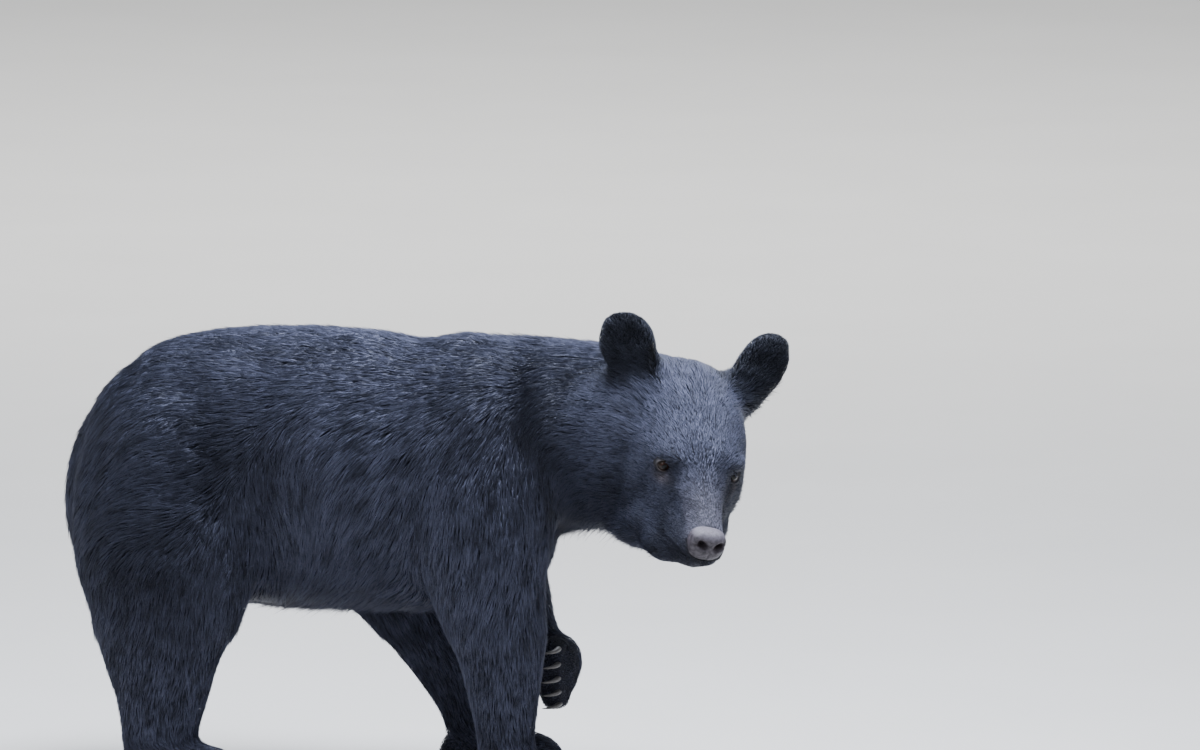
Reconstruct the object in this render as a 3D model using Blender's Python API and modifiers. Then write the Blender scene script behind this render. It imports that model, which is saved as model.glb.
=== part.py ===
import math

import bmesh
import bpy
from mathutils import Matrix, Vector

# An Asian black bear of about two years, in a walking stride, with its head turned to its right.
# Metres. The body faces +X, its left is +Y and +Z is up. Every size reaches to the tips of the coat.

GAP = 0.0004            # width of the thin cut between two pieces
VOXEL = 0.0050          # grain in which the forms are blended
BODY_TRIANGLES = 3150   # of the whole blended body, before it is parted
BODY_SMOOTHING = 30
FINE_SMOOTHING = 5      # on the head and the feet
SOLE_DEPTH = 0.002      # what is taken off under the feet, so that they stand flat
TINY = 0.00002          # points nearer than this become one after a cut
LEG_CUT_INNER = 0.020   # from the middle plane to the inner and outer ends of the cut that frees a leg
LEG_CUT_OUTER = 0.250

BACK_HEIGHT = 0.578     # highest point of the back
BELLY_HEIGHT = 0.222
RIB_HALF_WIDTH = 0.132
HIP_RIGHT_X = -0.190    # the right hip is drawn back and the left one carried forward
HIP_LEFT_X = -0.130

# the head's own frame has its origin midway between the eyes, with x forward, y left and z up
EYE_MIDDLE = Vector((0.4995, -0.139, 0.4276))
HEAD_TURN = math.radians(64)    # to the bear's right
HEAD_PITCH = math.radians(22)   # nose down
HEAD_ROLL = math.radians(12)    # left side down
EYE_SPREAD = 0.0455
EYE_RADIUS = 0.0098
EAR_SIZES = {"left": (0.097, 0.037), "right": (0.0895, 0.041)}       # height and half width
NOSE_HALF_WIDTH = 0.024
NOSE_HALF_HEIGHT = 0.0185

PAW_HALF_WIDTH = 0.045
FORE_PAW_LENGTH = 0.084
HIND_PAW_LENGTH = 0.106
CLAW_RADIUS = 0.0046
CLAW_NARROWNESS = 0.72  # width of a claw over its depth
CLAW_START = -14        # degrees behind the top of that arc

for old in list(bpy.data.objects):
    bpy.data.objects.remove(old)

parts = bpy.data.collections.new("Black bear")
cutters = bpy.data.collections.new("Cutters")
bpy.context.scene.collection.children.link(parts)
bpy.context.scene.collection.children.link(cutters)


def material(name, colour, roughness):
    made = bpy.data.materials.new(name)
    made.use_nodes = True
    shader = made.node_tree.nodes["Principled BSDF"]
    shader.inputs["Base Color"].default_value = (*colour, 1)
    shader.inputs["Roughness"].default_value = roughness
    shader.inputs["Metallic"].default_value = 0.0
    return made


coat = material("Coat", (0.012, 0.012, 0.016), 0.6)
leather = material("Nose leather", (0.05, 0.042, 0.040), 0.5)
horn = material("Claw horn", (0.09, 0.085, 0.08), 0.4)
iris = material("Eye", (0.07, 0.030, 0.012), 0.1)


def add_object(name, mesh, collection=parts, finish=None):
    made = bpy.data.objects.new(name, mesh)
    collection.objects.link(made)
    if finish:
        mesh.materials.clear()
        mesh.materials.append(finish)
    if collection is cutters:
        made.hide_render = True
        made.display_type = "WIRE"
    return made


def mesh_from(bm, name):
    bmesh.ops.recalc_face_normals(bm, faces=bm.faces)
    if bm.calc_volume(signed=True) < 0:
        bmesh.ops.reverse_faces(bm, faces=bm.faces)
    mesh = bpy.data.meshes.new(name)
    bm.to_mesh(mesh)
    bm.free()
    return mesh


def bake(thing):
    # the object keeps the shape that its modifiers give it
    depsgraph = bpy.context.evaluated_depsgraph_get()
    mesh = bpy.data.meshes.new_from_object(thing.evaluated_get(depsgraph))
    thing.modifiers.clear()
    thing.data = mesh


# ---- forms

def between(rows, at):
    # a smooth curve through the rows: at is 0 on the first and len(rows) - 1 on the last
    k = min(int(at), len(rows) - 2)
    t = at - k
    before, here = rows[max(k - 1, 0)], rows[k]
    there, after = rows[k + 1], rows[min(k + 2, len(rows) - 1)]
    return [
        0.5 * (2 * b + (c - a) * t + (2 * a - 5 * b + 4 * c - d) * t**2 + (3 * b - a - 3 * c + d) * t**3)
        for a, b, c, d in zip(before, here, there, after)
    ]


def loft(bm, stations, place=Matrix(), sides=28, steps=5, dome=0.8):
    # A station is x, y, z of the middle, the half width along y and the half depth across it.
    count = (len(stations) - 1) * steps + 1
    rows = [between(stations, i / steps) for i in range(count)]
    middles = [Vector(row[:3]) for row in rows]
    rings = []
    for i, row in enumerate(rows):
        along = (middles[min(i + 1, count - 1)] - middles[max(i - 1, 0)]).normalized()
        across = Vector((0, 1, 0))
        across = (across - along * along.dot(across)).normalized()
        rings.append((middles[i], along, across, row[3], row[4]))

    def cap(ring, way):
        middle, along, across, wide, deep = ring
        reach = along * way * dome * min(wide, deep)
        return [
            (middle + reach * math.sin(a), along, across, wide * math.cos(a), deep * math.cos(a))
            for a in (math.radians(22), math.radians(45), math.radians(66), math.radians(82))
        ]

    loops = []
    for middle, along, across, wide, deep in cap(rings[0], -1)[::-1] + rings + cap(rings[-1], 1):
        up = along.cross(across)
        angles = [2 * math.pi * k / sides for k in range(sides)]
        loops.append([
            bm.verts.new(place @ (middle + across * wide * math.cos(a) + up * deep * math.sin(a)))
            for a in angles
        ])
    for one, two in zip(loops, loops[1:]):
        for k in range(sides):
            n = (k + 1) % sides
            bm.faces.new((one[k], one[n], two[n], two[k]))
    bm.faces.new(loops[0])
    bm.faces.new(loops[-1][::-1])


def ball(bm, middle, radii, place=Matrix(), fine=(20, 12)):
    matrix = place @ Matrix.Translation(middle) @ Matrix.Diagonal((*radii, 1))
    bmesh.ops.create_uvsphere(bm, u_segments=fine[0], v_segments=fine[1], radius=1, matrix=matrix)


def spin(heading=0, pitch=0, roll=0):
    # degrees: heading to the left, nose down, left side down
    return (
        Matrix.Rotation(math.radians(heading), 4, "Z")
        @ Matrix.Rotation(math.radians(pitch), 4, "Y")
        @ Matrix.Rotation(math.radians(-roll), 4, "X")
    )


def upright(lines):
    # stations from x, height of the top line, height of the under line and half width
    return [(x, 0, (top + low) / 2, wide, (top - low) / 2) for x, top, low, wide in lines]


head_frame = Matrix.Translation(EYE_MIDDLE) @ spin(
    -math.degrees(HEAD_TURN), math.degrees(HEAD_PITCH), math.degrees(HEAD_ROLL)
)
ear_frames = {
    "left": head_frame @ Matrix.Translation((-0.118, 0.067, 0.050)) @ spin(roll=18) @ spin(heading=-8),
    "right": head_frame @ Matrix.Translation((-0.118, -0.0745, 0.062)) @ spin(roll=-31) @ spin(heading=-20),
}
# a paw's frame has its origin on the sole under the wrist or ankle
paw_frames = {
    "hind_right": Matrix.Translation((-0.185, -0.092, 0)) @ spin(-6),
    "hind_left": Matrix.Translation((0.182, 0.092, 0)) @ spin(4),
    "fore_right": Matrix.Translation((0.250, -0.090, 0)) @ spin(4),
    "fore_left": Matrix.Translation((0.250, 0.074, 0.150)) @ spin(-84, 6) @ spin(roll=90),
}
# length to the toes, to the heel, height, radius of the claws' arc, and height of the toes' middles
paw_sizes = {
    "hind_right": (HIND_PAW_LENGTH, 0.052, 0.058, 0.022, 0.0197),
    "hind_left": (HIND_PAW_LENGTH, 0.052, 0.058, 0.022, 0.0197),
    "fore_right": (FORE_PAW_LENGTH, 0.036, 0.054, 0.025, 0.0184),
    "fore_left": (FORE_PAW_LENGTH, 0.030, 0.054, 0.023, 0.0270),
}


def add_trunk(bm):
    loft(bm, upright([
        (-0.296, 0.482, 0.330, 0.066),
        (-0.255, 0.529, 0.262, 0.098),
        (-0.180, 0.563, 0.232, 0.118),
        (-0.070, BACK_HEIGHT, BELLY_HEIGHT, 0.126),
        (0.040, 0.577, BELLY_HEIGHT, RIB_HALF_WIDTH),
        (0.130, 0.571, 0.222, 0.128),
        (0.205, 0.579, 0.232, 0.118),
        (0.252, 0.562, 0.260, 0.098),
    ]), dome=0.35)
    ball(bm, (-0.225, 0, 0.418), (0.088, 0.106, 0.112))     # rump
    ball(bm, (0.222, 0, 0.345), (0.060, 0.088, 0.100))      # breast
    for hand in (-1, 1):
        ball(bm, (-0.165 + 0.015 * hand, hand * 0.054, 0.405), (0.118, 0.078, 0.118))     # haunch
        ball(bm, (0.212, hand * 0.053, 0.435), (0.088, 0.068, 0.122))                   # shoulder


def add_neck(bm):
    loft(bm, [
        (0.200, 0.000, 0.440, 0.108, 0.132),
        (0.270, 0.000, 0.450, 0.106, 0.124),
        (0.335, -0.008, 0.452, 0.102, 0.117),
        (0.392, -0.033, 0.453, 0.098, 0.116),
        (0.430, -0.070, 0.447, 0.090, 0.110),
    ], dome=0.5)


def add_head(bm):
    loft(bm, upright([
        (-0.165, 0.070, -0.100, 0.066),
        (-0.130, 0.090, -0.122, 0.080),
        (-0.085, 0.087, -0.126, 0.082),
        (-0.045, 0.064, -0.126, 0.075),
        (-0.010, 0.035, -0.126, 0.058),
        (0.025, 0.009, -0.115, 0.042),
        (0.060, -0.009, -0.100, 0.033),
        (0.088, -0.020, -0.083, 0.029),
        (0.102, -0.026, -0.072, 0.026),
    ]), place=head_frame, dome=0.35)
    for hand in (-1, 1):
        ball(bm, (-0.066, hand * 0.040, -0.040), (0.064, 0.043, 0.062), head_frame)     # cheek
        ball(bm, (-0.022, hand * 0.034, 0.016), (0.034, 0.026, 0.020), head_frame)      # brow
        ball(bm, (0.038, hand * 0.016, -0.055), (0.056, 0.018, 0.027), head_frame)      # upper lip
        ball(bm, (-0.042, hand * 0.037, -0.079), (0.062, 0.034, 0.037), head_frame)     # jowl
        ball(bm, (0.002, hand * 0.018, -0.092), (0.050, 0.034, 0.030), head_frame)      # jaw
        ball(bm, (-0.070, hand * 0.029, -0.101), (0.064, 0.052, 0.043), head_frame)     # throat


def add_ears(bm):
    for side, frame in ear_frames.items():
        high, wide = EAR_SIZES[side]
        ball(bm, (0, 0, high * 0.47), (0.0165, wide, high * 0.56), frame)
        ball(bm, (-0.006, 0, 0.006), (0.030, wide - 0.004, 0.034), frame)


def add_tail(bm):
    loft(bm, [
        (-0.280, 0, 0.425, 0.050, 0.045),
        (-0.304, 0, 0.385, 0.042, 0.034),
        (-0.314, 0, 0.335, 0.035, 0.027),
        (-0.311, 0, 0.285, 0.024, 0.020),
    ])


def add_legs(bm):
    hind_right = [
        (HIP_RIGHT_X, -0.055, 0.425, 0.062, 0.112),
        (-0.191, -0.078, 0.335, 0.064, 0.122),
        (-0.187, -0.092, 0.255, 0.060, 0.112),
        (-0.193, -0.094, 0.185, 0.051, 0.084),
        (-0.193, -0.093, 0.125, 0.045, 0.063),
        (-0.196, -0.092, 0.068, 0.040, 0.048),
        (-0.190, -0.092, 0.036, 0.038, 0.046),
    ]
    hind_left = [
        (HIP_LEFT_X, 0.055, 0.425, 0.062, 0.108),
        (-0.070, 0.082, 0.355, 0.064, 0.100),
        (0.016, 0.094, 0.285, 0.058, 0.074),
        (0.078, 0.096, 0.216, 0.050, 0.055),
        (0.130, 0.094, 0.150, 0.044, 0.049),
        (0.166, 0.092, 0.090, 0.040, 0.045),
        (0.182, 0.092, 0.040, 0.038, 0.042),
    ]
    fore_right = [
        (0.228, -0.060, 0.440, 0.058, 0.088),
        (0.217, -0.080, 0.360, 0.060, 0.090),
        (0.218, -0.090, 0.285, 0.055, 0.083),
        (0.236, -0.092, 0.215, 0.049, 0.064),
        (0.243, -0.092, 0.140, 0.043, 0.048),
        (0.245, -0.090, 0.075, 0.037, 0.037),
        (0.252, -0.090, 0.036, 0.036, 0.037),
    ]
    fore_left = [
        (0.218, 0.060, 0.440, 0.058, 0.084),
        (0.207, 0.082, 0.360, 0.060, 0.076),
        (0.203, 0.096, 0.285, 0.053, 0.058),
        (0.215, 0.100, 0.225, 0.046, 0.046),
        (0.236, 0.098, 0.176, 0.039, 0.038),
        (0.260, 0.085, 0.141, 0.037, 0.031),
    ]
    for leg in (hind_right, hind_left, fore_right, fore_left):
        loft(bm, leg)


def toe_place(name, k):
    # where toe k, counted from the bear's right, rests in its paw's frame
    length = paw_sizes[name][0]
    hand = 1 if name.endswith("left") else -1
    spread = (k - 2) / 2
    reach = length * (0.88 - 0.10 * spread**2 - 0.03 * hand * spread)
    return Vector((reach - 0.014, spread * PAW_HALF_WIDTH * 0.80, paw_sizes[name][4]))


def add_paws(bm):
    for name, frame in paw_frames.items():
        length, heel, height = paw_sizes[name][:3]
        wide = PAW_HALF_WIDTH
        ball(bm, (length * 0.38, 0, height * 0.48), (length * 0.52, wide * 0.94, height * 0.56), frame)
        ball(bm, (-heel * 0.30, 0, height * 0.50), (heel, wide * 0.84, height * 0.58), frame)
        for k in range(5):
            ball(bm, toe_place(name, k), (0.025, wide * 0.25, height * 0.36), frame)


def blended_body():
    bm = bmesh.new()
    for add in (add_trunk, add_neck, add_head, add_ears, add_tail, add_legs, add_paws):
        add(bm)
    body = add_object("trunk", mesh_from(bm, "trunk"), finish=coat)
    remesh = body.modifiers.new("Blend", "REMESH")
    remesh.mode = "VOXEL"
    remesh.voxel_size = VOXEL
    bake(body)
    # the head and the feet keep more of their form than the broad body
    fine = body.vertex_groups.new(name="Fine")
    broad = body.vertex_groups.new(name="Broad")
    centres = [(head_frame @ Vector((-0.02, 0, -0.02)), 0.15)]
    centres += [(frame @ Vector((0.04, 0, 0.02)), 0.08) for frame in paw_frames.values()]
    for vertex in body.data.vertices:
        nearness = max(1 - (vertex.co - middle).length / reach for middle, reach in centres)
        share = min(max(nearness * 2.5, 0), 1)
        fine.add([vertex.index], share, "REPLACE")
        broad.add([vertex.index], 1 - share, "REPLACE")
    for group, rounds in ((broad, BODY_SMOOTHING), (fine, FINE_SMOOTHING)):
        smooth = body.modifiers.new("Smooth " + group.name, "SMOOTH")
        smooth.factor = 0.5
        smooth.iterations = rounds
        smooth.vertex_group = group.name
    bake(body)
    reduce = body.modifiers.new("Reduce", "DECIMATE")
    reduce.use_collapse_triangulate = True
    reduce.ratio = BODY_TRIANGLES / (2 * len(body.data.polygons))
    bake(body)
    return body


# ---- parting

def boolean(thing, cutter, operation):
    cut = thing.modifiers.new(cutter.name, "BOOLEAN")
    cut.object = cutter
    cut.operation = operation
    bake(thing)
    bm = bmesh.new()
    bm.from_mesh(thing.data)
    bmesh.ops.remove_doubles(bm, verts=bm.verts, dist=TINY)
    bmesh.ops.dissolve_degenerate(bm, edges=bm.edges, dist=TINY)
    bm.to_mesh(thing.data)
    bm.free()


def cutter_from(bm, name):
    return add_object(name, mesh_from(bm, name), cutters)


def box_cutter(name, frame, low, high, grow=0.0):
    bm = bmesh.new()
    bmesh.ops.create_cube(bm, size=1)
    size = [b - a + 2 * grow for a, b in zip(low, high)]
    middle = [(a + b) / 2 for a, b in zip(low, high)]
    bm.transform(frame @ Matrix.Translation(middle) @ Matrix.Diagonal((*size, 1)))
    return cutter_from(bm, name)


def leg_cutter(name, top, slant, half_width, hand, grow=0.0):
    # an arch lying across the body: round above the hip or shoulder and open-legged down past the floor
    bm = bmesh.new()
    bmesh.ops.create_cone(bm, cap_ends=True, segments=24, radius1=1, radius2=1, depth=1)
    bm.transform(Matrix.Rotation(math.radians(90), 4, "X"))
    for vertex in bm.verts:
        vertex.co.x *= half_width + grow
        vertex.co.z *= half_width + grow if vertex.co.z > 0 else 1.5
        vertex.co.y *= LEG_CUT_OUTER - LEG_CUT_INNER + 2 * grow
    middle = Vector((top[0], hand * (LEG_CUT_OUTER + LEG_CUT_INNER) / 2, top[1]))
    bm.transform(Matrix.Translation(middle) @ spin(pitch=slant))
    return cutter_from(bm, name)


def part_off(body, name, make_cutter, *sizes):
    # the cut is as wide as the difference between the plain cutter and the grown one
    piece = add_object(name, body.data.copy(), finish=coat)
    boolean(piece, make_cutter(name + "_inside", *sizes), "INTERSECT")
    boolean(body, make_cutter(name + "_outside", *sizes, GAP), "DIFFERENCE")
    return piece


trunk = blended_body()
boolean(trunk, box_cutter("soles", Matrix(), (-1, -1, -1), (1, 1, SOLE_DEPTH)), "DIFFERENCE")

# the lifted paw and forearm come off first, as they reach into the other legs' cuts
paws = {"fore_left": part_off(
    trunk, "paw_fore_left", box_cutter, paw_frames["fore_left"], (0.006, -0.07, -0.02), (0.108, 0.07, 0.075)
)}
elbow_left = Matrix.Translation((0.214, 0.100, 0.214)) @ spin(pitch=58)
part_off(trunk, "lower_leg_fore_left", box_cutter, elbow_left, (0, -0.075, -0.048), (0.150, 0.07, 0.082))

# middle of the arch as x and z, slant forward, half width, side
leg_cuts = {
    "hind_left": ((-0.100, 0.385), -38, 0.102, 1),
    "hind_right": ((-0.188, 0.345), 0, 0.135, -1),
    "fore_left": ((0.205, 0.385), 0, 0.100, 1),
    "fore_right": ((0.220, 0.385), -3, 0.106, -1),
}
# at the elbow or the knee: x and z of the cut, and the pitch of the limb below it
joint_cuts = {
    "hind_left": (0.074, 0.210, 56),
    "hind_right": (-0.192, 0.212, 90),
    "fore_right": (0.236, 0.216, 87),
}
for name, cut in leg_cuts.items():
    leg = part_off(trunk, "upper_leg_" + name, leg_cutter, *cut)
    if name in joint_cuts:
        x, z, pitch = joint_cuts[name]
        joint_frame = Matrix.Translation((x, 0, z)) @ spin(pitch=pitch)
        low, high = (0, -0.3, -0.13), (0.4, 0.3, 0.16)
        shank = part_off(leg, "lower_leg_" + name, box_cutter, joint_frame, low, high)
        ankle_frame = Matrix.Translation((0, 0, paw_sizes[name][2] + 0.007))
        paws[name] = part_off(shank, "paw_" + name, box_cutter, ankle_frame, (-1, -1, -0.2), (1, 1, 0))

head_cut = Matrix.Translation((0.412, -0.014, 0.470)) @ spin(-50, 12)
head = part_off(trunk, "head", box_cutter, head_cut, (0, -0.155, -0.19), (0.3, 0.2, 0.25))
neck_cut = Matrix.Translation((0.275, 0, 0.480)) @ spin(0, -16)
part_off(trunk, "neck", box_cutter, neck_cut, (0, -0.2, -0.3), (0.3, 0.2, 0.2))
tail_cut = Matrix.Translation((-0.298, 0, 0.380)) @ spin(180, -8)
part_off(trunk, "tail", box_cutter, tail_cut, (0, -0.05, -0.13), (0.1, 0.05, 0.075))

for side, frame in ear_frames.items():
    part_off(head, "ear_" + side, box_cutter, frame, (-0.05, -0.052, 0.030), (0.05, 0.052, 0.13))
jaw_cut = head_frame @ Matrix.Translation((0.004, 0, -0.071)) @ spin(pitch=-1)
part_off(head, "lower_jaw", box_cutter, jaw_cut, (0, -0.08, -0.08), (0.14, 0.08, 0))


# ---- nose, eyes and claws

def solid(name, fill, finish):
    bm = bmesh.new()
    fill(bm, 0.0)
    return add_object(name, mesh_from(bm, name), finish=finish)


def bed(body, name, fill):
    # a pocket that holds the piece with the gap all round
    bm = bmesh.new()
    fill(bm, GAP)
    boolean(body, cutter_from(bm, name + "_bed"), "DIFFERENCE")


def nose_form(bm, grow):
    radii = (0.015 + grow, NOSE_HALF_WIDTH + grow, NOSE_HALF_HEIGHT + grow)
    ball(bm, (0.101, 0, -0.045), radii, head_frame, (14, 9))


bed(head, "nose", nose_form)
nose = solid("nose", nose_form, leather)
for hand in (-1, 1):
    bm = bmesh.new()
    ball(bm, (0.1187, hand * 0.0123, -0.0455), (0.009, 0.0047, 0.0061), head_frame, (8, 6))
    boolean(nose, cutter_from(bm, "nostril"), "DIFFERENCE")

for side, hand in (("left", 1), ("right", -1)):
    bm = bmesh.new()
    ball(bm, (0.010, hand * 0.054, 0.000), (0.014, 0.014, 0.0085), head_frame, (11, 7))
    boolean(head, cutter_from(bm, "socket_" + side), "DIFFERENCE")

    def eye_form(bm, grow):
        radius = EYE_RADIUS + grow
        ball(bm, (-0.006, hand * EYE_SPREAD, 0.000), (radius, radius, radius), head_frame, (11, 7))

    bed(head, "eye_" + side, eye_form)
    solid("eye_" + side, eye_form, iris)


def claw_form(bm, frame, root, reach, grow):
    # a quarter turn forward out of the toe, curling down and thinning to a point
    rings = []
    for k in range(4):
        a = math.radians(CLAW_START + 31 * k)
        thick = CLAW_RADIUS * (1 - 0.85 * (k / 3) ** 1.6) + grow
        middle = root + Vector((reach * math.sin(a), 0, reach * (math.cos(a) - 1)))
        outward = Vector((math.sin(a), 0, math.cos(a)))
        across = Vector((0, CLAW_NARROWNESS, 0))
        angles = [math.radians(60 * i) for i in range(6)]
        points = [middle + thick * (outward * math.sin(t) + across * math.cos(t)) for t in angles]
        rings.append([bm.verts.new(frame @ point) for point in points])
    for one, two in zip(rings, rings[1:]):
        for i in range(6):
            n = (i + 1) % 6
            bm.faces.new((one[i], one[n], two[n], two[i]))
    bm.faces.new(rings[0])
    bm.faces.new(rings[-1])


for name, piece in paws.items():
    for k in range(5):
        root = toe_place(name, k) + Vector((0.017, 0, 0.006))

        def this_claw(bm, grow):
            claw_form(bm, paw_frames[name], root, paw_sizes[name][3], grow)

        claw = f"claw_{name}_{k + 1}"
        bed(piece, claw, this_claw)
        solid(claw, this_claw, horn)

# the origin goes to the middle of the base
corners = [thing.matrix_world @ Vector(corner) for thing in parts.objects for corner in thing.bound_box]
low = [min(corner[i] for corner in corners) for i in range(3)]
high = [max(corner[i] for corner in corners) for i in range(3)]
shift = -Vector(((low[0] + high[0]) / 2, (low[1] + high[1]) / 2, low[2]))
for thing in parts.objects:
    thing.data.transform(Matrix.Translation(shift))
    thing.data.update()
print("SIZE", [round(b - a, 4) for a, b in zip(low, high)])
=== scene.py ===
import math

import bmesh
import bpy
import numpy as np
from mathutils import Matrix, Vector, noise
from mathutils.bvhtree import BVHTree
from mathutils.kdtree import KDTree


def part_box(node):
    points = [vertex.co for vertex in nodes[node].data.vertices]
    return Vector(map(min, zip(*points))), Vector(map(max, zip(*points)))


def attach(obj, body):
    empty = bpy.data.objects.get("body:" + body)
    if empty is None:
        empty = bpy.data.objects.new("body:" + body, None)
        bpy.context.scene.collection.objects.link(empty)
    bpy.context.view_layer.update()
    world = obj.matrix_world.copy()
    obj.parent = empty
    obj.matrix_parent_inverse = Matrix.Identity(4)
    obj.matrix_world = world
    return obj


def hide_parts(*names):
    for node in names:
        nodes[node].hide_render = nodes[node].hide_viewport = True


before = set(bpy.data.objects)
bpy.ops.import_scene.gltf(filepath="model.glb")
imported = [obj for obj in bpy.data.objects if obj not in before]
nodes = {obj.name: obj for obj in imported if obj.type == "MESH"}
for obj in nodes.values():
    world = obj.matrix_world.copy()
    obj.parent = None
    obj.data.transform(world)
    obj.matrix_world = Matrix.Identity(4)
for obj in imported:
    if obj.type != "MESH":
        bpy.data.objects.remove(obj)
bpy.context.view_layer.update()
rng = np.random.default_rng(11)
noise.seed_set(11)
scene = bpy.context.scene
limbNames = ("fore_left", "fore_right", "hind_left", "hind_right")
print("frame loaded")


def titled(name):
    return "".join(word.capitalize() for word in name.split("_"))


def turned(heading=0, pitch=0, roll=0):
    # degrees: heading to the left, nose down, left side down
    turn = Matrix.Rotation(math.radians(heading), 4, "Z")
    turn = turn @ Matrix.Rotation(math.radians(pitch), 4, "Y")
    return turn @ Matrix.Rotation(math.radians(-roll), 4, "X")


def moved(x, y, z):
    return Matrix.Translation((x, y, z))


def middleOf(node):
    low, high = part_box(node)
    return (low + high) / 2


# The head's frame lies midway between the eyes, x forward, y to the bear's left, z up.
poseSettings = {
    "headTurn": (-64, 22, 12),
    "eyeInHead": (-0.006, 0.0455, 0.0),
    "eyeMiddle": (0.4995, -0.139, 0.4276),   # before the origin went to the middle of the base
}
headSpin = turned(*poseSettings["headTurn"])
eyesBetween = (middleOf("eye_left") + middleOf("eye_right")) / 2
headOrigin = eyesBetween - headSpin @ Vector((poseSettings["eyeInHead"][0], 0, 0))
headFrame = Matrix.Translation(headOrigin) @ headSpin
shift = headOrigin - Vector(poseSettings["eyeMiddle"])
toFinal = Matrix.Translation(shift)
earFrames = {
    "left": headFrame @ moved(-0.118, 0.067, 0.050) @ turned(roll=18) @ turned(heading=-8),
    "right": headFrame @ moved(-0.118, -0.0745, 0.062) @ turned(roll=-31) @ turned(heading=-20),
}
pawFrames = {
    "hind_right": toFinal @ moved(-0.185, -0.092, 0) @ turned(-6),
    "hind_left": toFinal @ moved(0.182, 0.092, 0) @ turned(4),
    "fore_right": toFinal @ moved(0.250, -0.090, 0) @ turned(4),
    "fore_left": toFinal @ moved(0.250, 0.074, 0.150) @ turned(-84, 6) @ turned(roll=90),
}


def inFrame(place, points):
    # the points, an array, in the coordinates of a frame
    back = np.array(place.inverted())
    return points @ back[:3, :3].T + back[:3, 3]


def outOfFrame(place, points):
    there = np.array(place)
    return points @ there[:3, :3].T + there[:3, 3]


def smoothStep(values, low, high):
    t = np.clip((values - low) / (high - low), 0, 1)
    return t * t * (3 - 2 * t)


def bell(points, centre, radii):
    away = (points - np.array(centre)) / np.array(radii)
    return np.exp(-(away**2).sum(axis=1))


def relief(points, settings, hand=1):
    # how far the bells of a table stand out: made for the left side, mirrored for the right
    return sum(
        high * bell(points, (x, hand * y, z), reach) for (x, y, z), reach, high in settings.values()
    )


def fromPose(points):
    # from the pose's own origin, with both sides folded onto the left
    local = points - np.array(shift)
    local[:, 1] = np.abs(local[:, 1])
    return local


def mixed(one, other, share):
    return one * (1 - share) + np.array(other) * share


def lengths(vectors):
    return np.linalg.norm(vectors, axis=1)


def unit(vectors):
    return vectors / np.maximum(lengths(vectors), 1e-9)[:, None]


def addObject(name, data):
    made = bpy.data.objects.new(name, data)
    scene.collection.objects.link(made)
    return made


def meshOf(bm, name, smooth=False):
    for face in bm.faces if smooth else ():
        face.smooth = True
    mesh = bpy.data.meshes.new(name)
    bm.to_mesh(mesh)
    bm.free()
    return mesh


def aimThing(thing, place, direction):
    thing.location = place
    thing.rotation_mode = "QUATERNION"
    thing.rotation_quaternion = direction.to_track_quat("-Z", "Y")


def principled(name, roughness, specular=0.5):
    made = bpy.data.materials.new(name)
    made.use_nodes = True
    shader = made.node_tree.nodes["Principled BSDF"]
    shader.inputs["Roughness"].default_value = roughness
    shader.inputs["Specular IOR Level"].default_value = specular
    return made, made.node_tree, shader


def addNode(tree, kind, operation=None, **sockets):
    made = tree.nodes.new("ShaderNode" + kind)
    if operation:
        made.operation = operation
    for name, value in sockets.items():
        made.inputs[name].default_value = value
    return made


def addRange(tree, low, high, start=0, end=1):
    # turns values from start to end into values from low to high
    sockets = {"From Min": start, "From Max": end, "To Min": low, "To Max": high}
    return addNode(tree, "MapRange", **sockets)


def addRamp(tree, first, *others):
    # each stop: its place, from 0 to 1, and its colour
    made = addNode(tree, "ValToRGB")
    stops = made.color_ramp.elements
    for stop, (position, colour) in zip(stops, (first, others[-1])):
        stop.position = position
        stop.color = (*colour, 1)
    for position, colour in others[:-1]:
        stops.new(position).color = (*colour, 1)
    return made


def addAttribute(tree, name):
    made = addNode(tree, "Attribute")
    made.attribute_name = name
    return made


def chain(*steps):
    # a node, the output and the input that join it to the next one, the next one, and so on
    for source, link, target in zip(steps[::2], steps[1::2], steps[2::2]):
        output, entry = link.split(">")
        entry = int(entry) if entry.isdigit() else entry
        source.id_data.links.new(source.outputs[output], target.inputs[entry])


# camera and light come first, the bear after them

cameraSettings = {
    "azimuth": 12,
    "elevation": 8,
    "distance": 18.0,
    "metresAcross": 1.5,
    "aimRight": 0.3375,      # from the pose's own origin, across and up the view
    "aimUp": 0.510,
    "sensor": 36.0,
    "clip": (0.5, 200),
}


def makeCamera(settings):
    a, e = math.radians(settings["azimuth"]), math.radians(settings["elevation"])
    back = Vector((math.sin(a) * math.cos(e), -math.cos(a) * math.cos(e), math.sin(e)))
    right = Vector((math.cos(a), math.sin(a), 0))
    aim = shift + right * settings["aimRight"] + back.cross(right) * settings["aimUp"]
    data = bpy.data.cameras.new("camera")
    data.sensor_width = settings["sensor"]
    data.lens = settings["sensor"] * settings["distance"] / settings["metresAcross"]
    data.clip_start, data.clip_end = settings["clip"]
    scene.camera = addObject("camera", data)
    aimThing(scene.camera, aim + back * settings["distance"], -back)


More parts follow.
